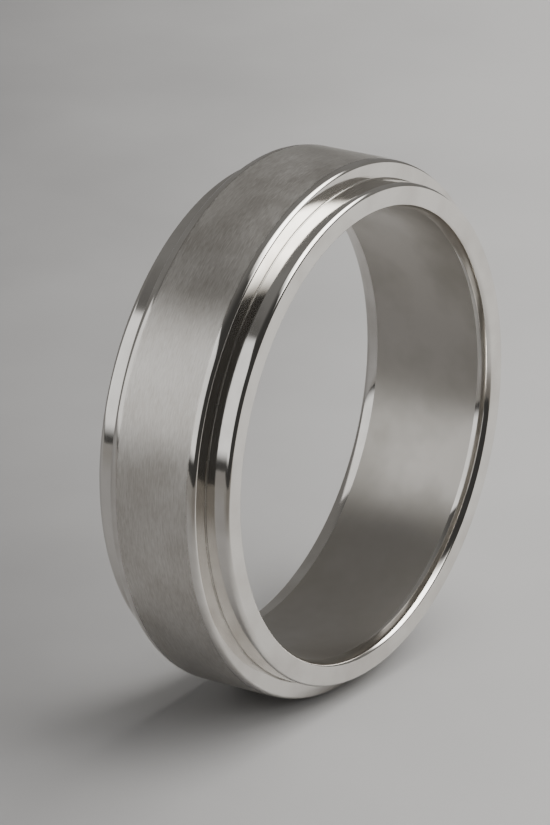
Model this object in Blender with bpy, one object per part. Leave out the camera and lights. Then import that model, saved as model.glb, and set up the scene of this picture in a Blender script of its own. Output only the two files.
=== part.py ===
"""Wedding band with a raised satin hoop on a polished comfort-fit sleeve.

The ring stands upright with its axis along Y, its front face at -Y and its
centre at the origin. Lengths are in metres.
"""

import math

import bmesh
import bpy

# Driving dimensions.
RING_WIDTH = 0.0060  # front end face to rear end face
BORE_RADIUS = 0.00905  # finger size 57, by inner circumference in millimetres
SLEEVE_RADIUS = 0.01004  # the polished shoulders
HOOP_RADIUS = 0.0108  # the satin surface, the ring's largest radius
HOOP_WIDTH = 0.0039

# Edges, each as a radial size and a size along the axis.
COMFORT_EDGE = (0.00019, 0.00060)  # sleeve, where the finger goes in
SHOULDER_EDGE = (0.00015, 0.00023)  # sleeve, outer edge of each end face
HOOP_EDGE = (0.00014, 0.00033)  # hoop, polished edge beside the satin

SOLDER_LEG = 0.00005  # each fillet's reach along the wall and the shoulder
FIT_GAP = 0.00001  # between neighbouring solids

# Round the axis, the same on every piece so that facets line up. Two more than a multiple
# of four puts the middle of a facet at the bottom, so the ring stands on a flat.
SEGMENTS = 62
COMFORT_STEPS = 5
EDGE_STEPS = 3


def rounded_corner(start, corner, end, steps):
    """A quarter ellipse from start to end that leaves and arrives along the corner's sides."""
    points = []
    for step in range(steps + 1):
        turn = 0.5 * math.pi * step / steps
        to_start = 1 - math.sin(turn)
        to_end = 1 - math.cos(turn)
        points.append(
            tuple(c + (s - c) * to_start + (e - c) * to_end for s, c, e in zip(start, corner, end))
        )
    return points


def with_rear(front_half):
    """Closes a front half outline, given from the inside out, with its mirror image behind it."""
    return front_half + [(radius, -along) for radius, along in reversed(front_half)]


def sleeve_outline():
    face = -RING_WIDTH / 2
    comfort_depth, comfort_length = COMFORT_EDGE
    edge_depth, edge_length = SHOULDER_EDGE
    inner = rounded_corner(
        (BORE_RADIUS, face + comfort_length),
        (BORE_RADIUS, face),
        (BORE_RADIUS + comfort_depth, face),
        COMFORT_STEPS,
    )
    outer = rounded_corner(
        (SLEEVE_RADIUS - edge_depth, face),
        (SLEEVE_RADIUS, face),
        (SLEEVE_RADIUS, face + edge_length),
        EDGE_STEPS,
    )
    return with_rear(inner + outer)


def hoop_outline():
    wall = -HOOP_WIDTH / 2
    edge_depth, edge_length = HOOP_EDGE
    outer = rounded_corner(
        (HOOP_RADIUS - edge_depth, wall),
        (HOOP_RADIUS, wall),
        (HOOP_RADIUS, wall + edge_length),
        EDGE_STEPS,
    )
    return with_rear([(SLEEVE_RADIUS + FIT_GAP, wall)] + outer)


def solder_outline(side):
    """A hollow fillet in the corner between the hoop's wall and the shoulder; side is -1 in front."""
    root = SLEEVE_RADIUS + FIT_GAP
    wall = side * (HOOP_WIDTH / 2 + FIT_GAP)
    foot = (root, wall + side * SOLDER_LEG)
    top = (root + SOLDER_LEG, wall)
    return rounded_corner(foot, (root, wall), top, EDGE_STEPS) + [(root, wall)]


def turned(name, outline, material):
    """Turns a closed outline of (radius, place along Y) points about the Y axis."""
    shape = bmesh.new()
    rim = [shape.verts.new((radius, along, 0)) for radius, along in outline]
    edges = [shape.edges.new((point, rim[place - 1])) for place, point in enumerate(rim)]
    bmesh.ops.spin(
        shape,
        geom=rim + edges,
        cent=(0, 0, 0),
        axis=(0, 1, 0),
        angle=2 * math.pi,
        steps=SEGMENTS,
        use_merge=True,
    )
    bmesh.ops.recalc_face_normals(shape, faces=shape.faces)
    mesh = bpy.data.meshes.new(name)
    shape.to_mesh(mesh)
    shape.free()
    mesh.shade_smooth()
    mesh.set_sharp_from_angle(angle=math.radians(25))
    mesh.materials.append(material)
    piece = bpy.data.objects.new(name, mesh)
    bpy.context.scene.collection.objects.link(piece)
    return piece


def white_metal(name, color, roughness):
    material = bpy.data.materials.new(name)
    material.use_nodes = True
    shader = material.node_tree.nodes["Principled BSDF"]
    shader.inputs["Base Color"].default_value = (*color, 1)
    shader.inputs["Metallic"].default_value = 1
    shader.inputs["Roughness"].default_value = roughness
    return material


def clear_scene():
    for old in list(bpy.data.objects):
        bpy.data.objects.remove(old, do_unlink=True)


def build_ring():
    polished = white_metal("polished_white_metal", (0.62, 0.60, 0.57), 0.08)
    satin = white_metal("satin_white_metal", (0.52, 0.51, 0.49), 0.38)
    solder = white_metal("solder_white_metal", (0.66, 0.65, 0.62), 0.18)
    turned("comfort_sleeve", sleeve_outline(), polished)
    turned("satin_hoop", hoop_outline(), satin)
    turned("front_solder_fillet", solder_outline(-1), solder)
    turned("rear_solder_fillet", solder_outline(1), solder)


clear_scene()
build_ring()
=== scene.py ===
import math
import bpy
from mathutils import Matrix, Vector


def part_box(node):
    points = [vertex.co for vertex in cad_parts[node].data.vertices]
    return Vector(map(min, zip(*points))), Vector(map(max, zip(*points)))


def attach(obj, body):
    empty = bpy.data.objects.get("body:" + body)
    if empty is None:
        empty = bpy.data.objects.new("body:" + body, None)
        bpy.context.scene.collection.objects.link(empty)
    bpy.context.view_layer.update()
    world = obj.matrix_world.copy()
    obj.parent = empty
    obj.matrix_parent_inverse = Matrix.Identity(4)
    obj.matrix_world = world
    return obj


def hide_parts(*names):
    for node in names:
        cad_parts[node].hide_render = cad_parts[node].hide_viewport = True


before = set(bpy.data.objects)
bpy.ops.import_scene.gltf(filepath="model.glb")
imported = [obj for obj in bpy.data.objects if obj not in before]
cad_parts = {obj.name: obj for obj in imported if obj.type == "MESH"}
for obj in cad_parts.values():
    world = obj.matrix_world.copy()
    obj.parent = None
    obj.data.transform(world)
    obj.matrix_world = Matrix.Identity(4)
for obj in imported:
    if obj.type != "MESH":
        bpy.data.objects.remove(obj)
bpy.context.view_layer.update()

mm = 0.001
micron = 0.000001


def turnedSize(node):
    # inner and outer radius, front and rear of a piece turned about Y
    points = [v.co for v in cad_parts[node].data.vertices]
    radii = [math.hypot(p.x, p.z) for p in points]
    low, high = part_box(node)
    return {"inner": min(radii), "outer": max(radii), "front": low.y, "rear": high.y}


sleeveSize = turnedSize("comfort_sleeve")
hoopSize = turnedSize("satin_hoop")
groundHeight = -hoopSize["outer"]
print("sizes read", sleeveSize, hoopSize)


def onlySelect(thing):
    if bpy.context.object and bpy.context.object.mode != "OBJECT":
        bpy.ops.object.mode_set(mode="OBJECT")
    bpy.ops.object.select_all(action="DESELECT")
    if thing:
        thing.select_set(True)
    bpy.context.view_layer.objects.active = thing


def selectPoints(thing, wanted):
    # picks the mesh points that answer to a rule about their place
    bpy.ops.object.mode_set(mode="OBJECT")
    for polygon in thing.data.polygons:
        polygon.select = False
    for edge in thing.data.edges:
        edge.select = False
    for vertex in thing.data.vertices:
        vertex.select = wanted(vertex.co)
    bpy.ops.object.mode_set(mode="EDIT")


def hexColor(code):
    # sRGB hex to the linear colour that the shader wants
    parts = [int(code[i:i + 2], 16) / 255 for i in (1, 3, 5)]
    linear = [c / 12.92 if c <= 0.04045 else ((c + 0.055) / 1.055) ** 2.4 for c in parts]
    return (*linear, 1)


def addNode(owner, kind, settings=None, values=None, links=None):
    # one node with its settings, socket values and incoming links
    node = owner.node_tree.nodes.new(kind)
    for name, value in (settings or {}).items():
        setattr(node, name, value)
    for socket, value in (values or {}).items():
        node.inputs[socket].default_value = value
    for socket, source in (links or {}).items():
        owner.node_tree.links.new(source, node.inputs[socket])
    return node


turnSteps = 384  # faces round the ring, under 0.2 mm each
pointReach = 0.001 * mm  # how near a point counts as lying on a corner
mergeReach = 0.00002 * mm  # joins only the points where the turn closes
skinReach = 0.01 * mm  # how near a face counts as lying on a round surface


def turnedRing(name, size, corners):
    # a plane the size of the cross-section, its corners shaped by bevel, spun about Y
    onlySelect(None)
    depth = size["outer"] - size["inner"]
    width = size["rear"] - size["front"]
    middle = ((size["outer"] + size["inner"]) / 2, (size["front"] + size["rear"]) / 2, 0)
    bpy.ops.mesh.primitive_plane_add(size=1, location=middle)
    ring = bpy.context.object
    ring.name = ring.data.name = name
    ring.scale = (depth, width, 1)
    bpy.ops.object.transform_apply(location=True, rotation=True, scale=True)
    bpy.ops.object.mode_set(mode="EDIT")
    bpy.ops.mesh.select_mode(type="VERT")
    for corner in corners:
        # an oval corner is bevelled round while the section is squashed along Y
        squash = corner["radial"] / corner["along"]
        bpy.ops.mesh.select_all(action="SELECT")
        bpy.ops.transform.resize(value=(1, squash, 1), center_override=(0, 0, 0))
        edge = size[corner["side"]]
        ends = [size[end] * squash for end in corner["ends"]]
        selectPoints(ring, lambda p: abs(p.x - edge) < pointReach and
                     min(abs(p.y - end) for end in ends) < pointReach)
        bpy.ops.mesh.bevel(offset=corner["radial"], segments=corner["steps"],
                           affect="VERTICES", profile=corner["profile"])
        bpy.ops.mesh.select_all(action="SELECT")
        bpy.ops.transform.resize(value=(1, 1 / squash, 1), center_override=(0, 0, 0))
    bpy.ops.mesh.select_all(action="SELECT")
    bpy.ops.mesh.delete(type="ONLY_FACE")
    bpy.ops.mesh.select_all(action="SELECT")
    bpy.ops.mesh.spin(steps=turnSteps, angle=2 * math.pi, center=(0, 0, 0), axis=(0, 1, 0))
    bpy.ops.mesh.select_all(action="SELECT")
    bpy.ops.mesh.remove_doubles(threshold=mergeReach)
    bpy.ops.mesh.normals_make_consistent(inside=False)
    bpy.ops.object.mode_set(mode="OBJECT")
    return ring


def finishSurface(piece, sharpFrom):
    # smooth shading that keeps flat faces flat beside their rounded edges
    onlySelect(piece)
    bpy.ops.object.shade_smooth_by_angle(angle=math.radians(sharpFrom), keep_sharp_edges=True)
    bpy.ops.object.modifier_add(type="WEIGHTED_NORMAL")
    weighted = piece.modifiers[-1]
    weighted.keep_sharp = True
    weighted.weight = 80
    bpy.ops.object.modifier_apply(modifier=weighted.name)
    print(piece.name, len(piece.data.polygons), "faces")


def newMetal(name, color, roughness):
    material = bpy.data.materials.new(name)
    material.use_nodes = True
    shader = material.node_tree.nodes["Principled BSDF"]
    shader.inputs["Base Color"].default_value = hexColor(color)
    shader.inputs["Metallic"].default_value = 1
    shader.inputs["Roughness"].default_value = roughness
    return material, shader


def roundGrain(material, length, width, lean, warp, detail, seed):
    # noise drawn out round the ring: long across X and Z, narrow along Y, and a little wavy
    place = addNode(material, "ShaderNodeTexCoord").outputs["Object"]
    drift = addNode(material, "ShaderNodeTexNoise",
                    values={"Scale": 1 / (2.5 * length), "Detail": 1.0}, links={"Vector": place})
    bend = addNode(material, "ShaderNodeVectorMath", {"operation": "MULTIPLY_ADD"},
                   {1: (0, warp, 0)}, {0: drift.outputs["Color"], 2: place})
    stretch = addNode(material, "ShaderNodeMapping", {"vector_type": "POINT"},
                      {"Rotation": (math.radians(lean), 0, math.radians(0.6 * lean)),
                       "Scale": (1 / length, 1 / width, 1 / length), "Location": (seed, seed, seed)},
                      {"Vector": bend.outputs["Vector"]})
    return addNode(material, "ShaderNodeTexNoise", values={"Scale": 1.0, "Detail": detail},
                   links={"Vector": stretch.outputs["Vector"]}).outputs["Fac"]


def blotches(material, size, detail, seed):
    place = addNode(material, "ShaderNodeTexCoord").outputs["Object"]
    moved = addNode(material, "ShaderNodeMapping", values={"Location": (seed * mm, seed * mm, 0)},
                    links={"Vector": place})
    return addNode(material, "ShaderNodeTexNoise", values={"Scale": 1 / size, "Detail": detail},
                   links={"Vector": moved.outputs["Vector"]}).outputs["Fac"]


def spread(material, value, low, high, newLow, newHigh):
    # stretches a band of a pattern to a new range
    return addNode(material, "ShaderNodeMapRange", {"clamp": True},
                   {"From Min": low, "From Max": high, "To Min": newLow, "To Max": newHigh},
                   {"Value": value}).outputs["Result"]


def combine(material, operation, first, second):
    node = addNode(material, "ShaderNodeMath", {"operation": operation}, links={0: first})
    if isinstance(second, (int, float)):
        node.inputs[1].default_value = second
    else:
        material.node_tree.links.new(second, node.inputs[1])
    return node.outputs["Value"]


def dent(material, height, depth, before=None):
    # bump whose depth is a real height
    node = addNode(material, "ShaderNodeBump", values={"Strength": 1.0, "Distance": depth},
                   links={"Height": height})
    if before:
        material.node_tree.links.new(before, node.inputs["Normal"])
    return node.outputs["Normal"]


def tint(material, amount, dark, light):
    return addNode(material, "ShaderNodeMix", {"data_type": "RGBA"},
                   {"A": hexColor(dark), "B": hexColor(light)}, {"Factor": amount}).outputs["Result"]


# 18 ct white gold, rhodium plated and buffed: a near mirror that shows the room in dark and
# light bands, with faint buffing lines, handling haze and a slightly wavy skin
buffed = {
    "light": "#e8e5e0",
    "dull": "#d8d4ce",
    "roughness": (0.05, 0.12),
    "hazeSize": 1.6 * mm,
    "waveSize": 0.45 * mm,
    "waveDepth": 0.55 * micron,
    "hairWidth": 0.035 * mm,  # real buffing lines are under 0.01 mm, drawn coarser to show
    "hairLength": 1.6 * mm,
    "hairDepth": 0.22 * micron,
}


def buffedMetal(name, look):
    material, shader = newMetal(name, look["light"], look["roughness"][0])
    link = material.node_tree.links.new
    low, high = look["roughness"]
    haze = spread(material, blotches(material, look["hazeSize"], 3.0, 4), 0.38, 0.68, 0, 1)
    hair = roundGrain(material, look["hairLength"], look["hairWidth"], 1.5, 0.05 * mm, 2.0, 3)
    fineHair = spread(material, hair, 0.56, 0.72, 0, 1)
    wave = blotches(material, look["waveSize"], 1.0, 11)
    cloud = combine(material, "MULTIPLY", haze, high - low)
    scuffed = combine(material, "MULTIPLY_ADD", fineHair, 0.04)
    link(cloud, scuffed.node.inputs[2])
    link(combine(material, "ADD", scuffed, low), shader.inputs["Roughness"])
    link(tint(material, haze, look["light"], look["dull"]), shader.inputs["Base Color"])
    waves = dent(material, wave, look["waveDepth"])
    link(dent(material, hair, look["hairDepth"], waves), shader.inputs["Normal"])
    return material


# the same alloy, brushed by hand round the ring with a fine wheel: soft wide highlights, short
# crossing strokes and a few faint longer ones, fading to polish where it meets the rounded edge
satin = {
    "light": "#dcd9d4",
    "dark": "#b8b3ac",
    "roughness": (0.29, 0.39),
    "strokeWidth": 0.050 * mm,  # a fine wheel leaves 0.01 to 0.02 mm, drawn coarser to show
    "strokeLength": 0.42 * mm,
    "strokeDepth": 2.6 * micron,
    "crossDepth": 1.8 * micron,
    "deepDepth": 1.2 * micron,
    "smudgeSize": 2.2 * mm,
}


def satinMetal(name, look, flatHalf):
    material, shader = newMetal(name, look["light"], look["roughness"][1])
    link = material.node_tree.links.new
    width, length = look["strokeWidth"], look["strokeLength"]
    stroke = roundGrain(material, length, width, 4, 0.10 * mm, 3.0, 1)
    cross = roundGrain(material, 0.6 * length, 0.9 * width, -11, 0.16 * mm, 2.0, 7)
    deep = roundGrain(material, 2.2 * length, 1.3 * width, 9, 0.2 * mm, 1.0, 13)
    deepLine = spread(material, deep, 0.66, 0.74, 0, 1)
    smudge = blotches(material, look["smudgeSize"], 4.0, 5)
    low, high = look["roughness"]
    grain = combine(material, "ADD", combine(material, "MULTIPLY", stroke, 0.6),
                    combine(material, "MULTIPLY", cross, 0.4))
    even = spread(material, smudge, 0.32, 0.68, 0, 1)
    mixed = combine(material, "ADD", combine(material, "MULTIPLY", grain, 0.8),
                    combine(material, "MULTIPLY", even, 0.2))
    # the wheel lifts off at the rounded edge, unevenly
    place = addNode(material, "ShaderNodeTexCoord").outputs["Object"]
    along = addNode(material, "ShaderNodeSeparateXYZ", links={"Vector": place}).outputs["Y"]
    ragged = combine(material, "MULTIPLY_ADD", blotches(material, 0.3 * mm, 2.0, 9), 0.10 * mm)
    link(combine(material, "ABSOLUTE", along, 0), ragged.node.inputs[2])
    worn = spread(material, ragged, flatHalf - 0.02 * mm, flatHalf + 0.05 * mm, 0, 1)
    kept = spread(material, worn, 0, 1, 1, 0)
    rough = spread(material, mixed, 0.25, 0.75, low, high)
    rough = combine(material, "MULTIPLY", rough, spread(material, kept, 0, 1, 0.45, 1))
    link(rough, shader.inputs["Roughness"])
    shade = spread(material, mixed, 0.3, 0.7, 0, 1)
    link(tint(material, shade, look["dark"], look["light"]), shader.inputs["Base Color"])
    first = dent(material, combine(material, "MULTIPLY", stroke, kept), look["strokeDepth"])
    second = dent(material, combine(material, "MULTIPLY", cross, kept), look["crossDepth"], first)
    third = dent(material, combine(material, "MULTIPLY", deepLine, kept), -look["deepDepth"], second)
    link(third, shader.inputs["Normal"])
    return material


# the same alloy in the bore, lapped and not plated bright: a soft grey sheen that blurs what it
# mirrors, with very fine lines round the ring
boreLook = dict(buffed, light="#bcb8b2", dull="#aca8a1", roughness=(0.28, 0.36), hazeSize=2.6 * mm,
                waveSize=1.2 * mm, waveDepth=0.3 * micron, hairWidth=0.05 * mm,
                hairDepth=0.25 * micron)

# white gold solder, melted and pickled: a thin line, a little duller than the polish beside it
solderLook = dict(buffed, light="#bfbbb4", dull="#a9a59e", roughness=(0.22, 0.32),
                  hazeSize=1.2 * mm, waveDepth=0.15 * micron, hairDepth=0.05 * micron)

buffedGold = buffedMetal("rhodiumBuffedWhiteGold", buffed)
lappedGold = buffedMetal("lappedWhiteGoldBore", boreLook)
solderGold = buffedMetal("pickledWhiteGoldSolder", solderLook)
print("metals made")

sleeveLook = {
    "comfort": {"side": "inner", "ends": ["front", "rear"], "radial": 0.19 * mm,
                "along": 0.60 * mm, "steps": 14, "profile": 0.5},
    "shoulder": {"side": "outer", "ends": ["front", "rear"], "radial": 0.15 * mm,
                 "along": 0.23 * mm, "steps": 10, "profile": 0.5},
}
sleeve = turnedRing("sleeve_surface", sleeveSize, [sleeveLook["comfort"], sleeveLook["shoulder"]])
sleeve.data.materials.append(buffedGold)
sleeve.data.materials.append(lappedGold)
boreHalf = sleeveSize["rear"] - sleeveLook["comfort"]["along"]
for polygon in sleeve.data.polygons:
    middle = polygon.center
    inside = math.hypot(middle.x, middle.z) < sleeveSize["inner"] + skinReach
    if inside and abs(middle.y) < 0.5 * boreHalf:
        polygon.material_index = 1
finishSurface(sleeve, 30)
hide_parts("comfort_sleeve")
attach(sleeve, "root")

hoopLook = {
    "edge": {"side": "outer", "ends": ["front", "rear"], "radial": 0.14 * mm,
             "along": 0.33 * mm, "steps": 12, "profile": 0.5},
}
flatHalf = hoopSize["rear"] - hoopLook["edge"]["along"]
satinGold = satinMetal("satinBrushedWhiteGold", satin, flatHalf)
hoop = turnedRing("hoop_surface", hoopSize, [hoopLook["edge"]])
hoop.data.materials.append(buffedGold)
hoop.data.materials.append(satinGold)
for polygon in hoop.data.polygons:
    middle = polygon.center
    outside = math.hypot(middle.x, middle.z) > hoopSize["outer"] - skinReach
    if outside and abs(middle.y) < 0.5 * flatHalf:
        polygon.material_index = 1
finishSurface(hoop, 30)
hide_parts("satin_hoop")
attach(hoop, "root")

# each bead is sunk a little into the metal, and its hollow face takes up most of each leg
beadLook = {"bury": 0.02 * mm, "steps": 8, "hollow": 0.09, "hollowShare": 0.9}
for end in ("front", "rear"):
    bead = turnedSize(end + "_solder_fillet")
    outwards = -1 if end == "front" else 1
    bead["inner"] = sleeveSize["outer"] - beadLook["bury"]
    inwards = "rear" if end == "front" else "front"
    bead[inwards] = hoopSize[end] - outwards * beadLook["bury"]
    leg = beadLook["hollowShare"] * (bead["outer"] - sleeveSize["outer"])
    hollow = {"side": "outer", "ends": [end], "radial": leg, "along": leg,
              "steps": beadLook["steps"], "profile": beadLook["hollow"]}
    solder = turnedRing(end + "_solder_line", bead, [hollow])
    solder.data.materials.append(solderGold)
    finishSurface(solder, 40)
    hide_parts(end + "_solder_fillet")
    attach(solder, "root")

shot = {"azimuth": -57.134, "elevation": 20.501, "distance": 194.4 * mm, "lens": 215.3,
        "aimLeft": 1.253 * mm, "aimUp": 0.362 * mm}


def directionTo(azimuth, elevation):
    a, e = math.radians(azimuth), math.radians(elevation)
    return Vector((math.sin(a) * math.cos(e), -math.cos(a) * math.cos(e), math.sin(e)))


def addCamera():
    onlySelect(None)
    back = directionTo(shot["azimuth"], shot["elevation"])
    right = Vector((0, 0, 1)).cross(back).normalized()
    up = back.cross(right)
    place = back * shot["distance"]
    aim = -right * shot["aimLeft"] + up * shot["aimUp"]
    bpy.ops.object.camera_add(location=place)
    camera = bpy.context.object
    camera.rotation_euler = (place - aim).to_track_quat("Z", "Y").to_euler()
    camera.data.lens = shot["lens"]
    camera.data.sensor_width = 36
    camera.data.clip_start = 1 * mm
    camera.data.clip_end = 10
    bpy.context.scene.camera = camera


addCamera()
print("camera placed")


def addPanel(name, light):
    # a soft light panel that faces a point near the ring and fades towards its rim
    onlySelect(None)
    place, aim = Vector(light["place"]), Vector(light["aim"])
    width, height = light["width"], light["height"]
    bpy.ops.object.light_add(type="AREA", location=place)
    panel = bpy.context.object
    panel.name = name
    panel.rotation_euler = (place - aim).to_track_quat("Z", "Y").to_euler()
    panel.data.shape = "RECTANGLE"
    panel.data.size = width
    panel.data.size_y = height
    panel.data.energy = light["brightness"] * math.pi * width * height
    panel.data.color = light["color"]
    panel.visible_camera = False
    panel.visible_glossy = light["mirrored"]
    panel.data.use_nodes = True
    lamp = panel.data
    spot = addNode(lamp, "ShaderNodeNewGeometry").outputs["Parametric"]
    across = addNode(lamp, "ShaderNodeSeparateXYZ", links={"Vector": spot})
    fades = []
    for axis, fade in zip(("X", "Y"), light["fade"]):
        offset = combine(lamp, "SUBTRACT", across.outputs[axis], 0.5)
        fromMiddle = combine(lamp, "ABSOLUTE", offset, 0)
        fades.append(addNode(lamp, "ShaderNodeMapRange", {"interpolation_type": "SMOOTHSTEP"},
                             {"From Min": 0.5, "From Max": 0.5 - fade},
                             {"Value": fromMiddle}).outputs["Result"])
    lamp.node_tree.links.new(combine(lamp, "MULTIPLY", fades[0], fades[1]),
                             lamp.node_tree.nodes["Emission"].inputs["Strength"])


# dark, darkFrom and lightFrom set painted side shade on the floor; near, nearFrom and nearTo set a
# painted shadow in front of the ring
floorLook = {"width": 1.4, "depth": 0.6, "nearEdge": 70 * mm, "light": "#b2b1b0",
             "dark": "#747373", "near": "#625f5b", "roughness": 0.55, "mottle": 14 * mm,
             "sway": 14 * mm,
             "darkFrom": -30 * mm, "lightFrom": 22 * mm, "nearFrom": 15 * mm, "nearTo": 40 * mm}


def addFloor():
    # plain, honed and matt pale rock, with painted shade in its colour
    onlySelect(None)
    toCamera = directionTo(shot["azimuth"], 0)
    behind = floorLook["depth"] / 2 - floorLook["nearEdge"]
    middle = -toCamera * behind + Vector((0, 0, groundHeight))
    bpy.ops.mesh.primitive_plane_add(size=1, location=middle)
    floor = bpy.context.object
    floor.name = "studio_floor"
    floor.scale = (floorLook["width"], floorLook["depth"], 1)
    floor.rotation_euler = (0, 0, math.atan2(toCamera.y, toCamera.x) + math.pi / 2)
    bpy.ops.object.transform_apply(location=True, rotation=True, scale=True)
    material = bpy.data.materials.new("honedPaleStone")
    material.use_nodes = True
    shader = material.node_tree.nodes["Principled BSDF"]
    shader.inputs["Roughness"].default_value = floorLook["roughness"]
    # painted shade: a little greyer to one side and darker well in front of the ring, standing in for
    # how the light falls; the very faint mottle is the floor's own tone
    place = addNode(material, "ShaderNodeTexCoord").outputs["Object"]
    side = addNode(material, "ShaderNodeVectorMath", {"operation": "DOT_PRODUCT"},
                   {1: directionTo(shot["azimuth"] + 90, 0)}, {0: place}).outputs["Value"]
    cloudy = blotches(material, floorLook["mottle"], 3.0, 0)
    mottle = combine(material, "MULTIPLY", cloudy, floorLook["sway"])
    # the mottle averages half its sway, so both ends move by that much
    shift = floorLook["sway"] / 2
    # painted side shade: the colour runs from dark to light across the floor, with the floor's own
    # mottle added
    tone = addNode(material, "ShaderNodeMapRange", {"interpolation_type": "SMOOTHSTEP"},
                   {"From Min": floorLook["darkFrom"] + shift,
                    "From Max": floorLook["lightFrom"] + shift},
                   {"Value": combine(material, "ADD", side, mottle)}).outputs["Result"]
    # painted shadow: the floor darkens to the near colour from 15 to 40 mm in front of the ring,
    # towards the camera
    towards = addNode(material, "ShaderNodeVectorMath", {"operation": "DOT_PRODUCT"},
                      {1: toCamera}, {0: place}).outputs["Value"]
    nearness = addNode(material, "ShaderNodeMapRange", {"interpolation_type": "SMOOTHSTEP"},
                       {"From Min": floorLook["nearFrom"], "From Max": floorLook["nearTo"]},
                       {"Value": towards}).outputs["Result"]
    # the floor colour: its own faint mottle together with the painted side shade
    stone = tint(material, tone, floorLook["dark"], floorLook["light"])
    blended = addNode(material, "ShaderNodeMix", {"data_type": "RGBA"},
                      {"B": hexColor(floorLook["near"])}, {"Factor": nearness, "A": stone})
    material.node_tree.links.new(blended.outputs["Result"], shader.inputs["Base Color"])
    floor.data.materials.append(material)


addFloor()

lights = {
    "ceilingBox": {"place": (0.24, -0.25, 0.50), "aim": (0.24, -0.25, 0), "width": 0.80,
                   "height": 0.68, "brightness": 6.5, "color": (1, 0.99, 0.97),
                   "fade": (0.30, 0.16), "mirrored": True},
    "leftWall": {"place": (-0.42, 0.26, 0.25), "aim": (0, 0, 0.25), "width": 0.75,
                 "height": 0.54, "brightness": 1.1, "color": (1, 1, 1),
                 "fade": (0.10, 0.10), "mirrored": True},
    # softens the shadow under the ring, and the metal doesn't mirror it
    "sideFill": {"place": (-0.02, -0.40, 0.30), "aim": (0, 0, 0), "width": 0.46,
                 "height": 0.46, "brightness": 4.4, "color": (1, 1, 1),
                 "fade": (0.25, 0.25), "mirrored": False},
}
for name, light in lights.items():
    addPanel(name, light)

room = {"dark": 0.05, "dim": 0.20}


def addRoom():
    # a dim room, darkest on the camera's side
    world = bpy.data.worlds.new("studioRoom")
    bpy.context.scene.world = world
    world.use_nodes = True
    background = world.node_tree.nodes["Background"]
    background.inputs["Color"].default_value = hexColor("#fffdfa")
    look = addNode(world, "ShaderNodeTexCoord").outputs["Generated"]
    facing = addNode(world, "ShaderNodeVectorMath", {"operation": "DOT_PRODUCT"},
                     {1: directionTo(shot["azimuth"], 0)}, {0: look}).outputs["Value"]
    level = addNode(world, "ShaderNodeMapRange", {"interpolation_type": "SMOOTHSTEP"},
                    {"From Min": -0.3, "From Max": 0.5, "To Min": room["dim"], "To Max": room["dark"]},
                    {"Value": facing}).outputs["Result"]
    world.node_tree.links.new(level, background.inputs["Strength"])


addRoom()
print("floor and lights placed")
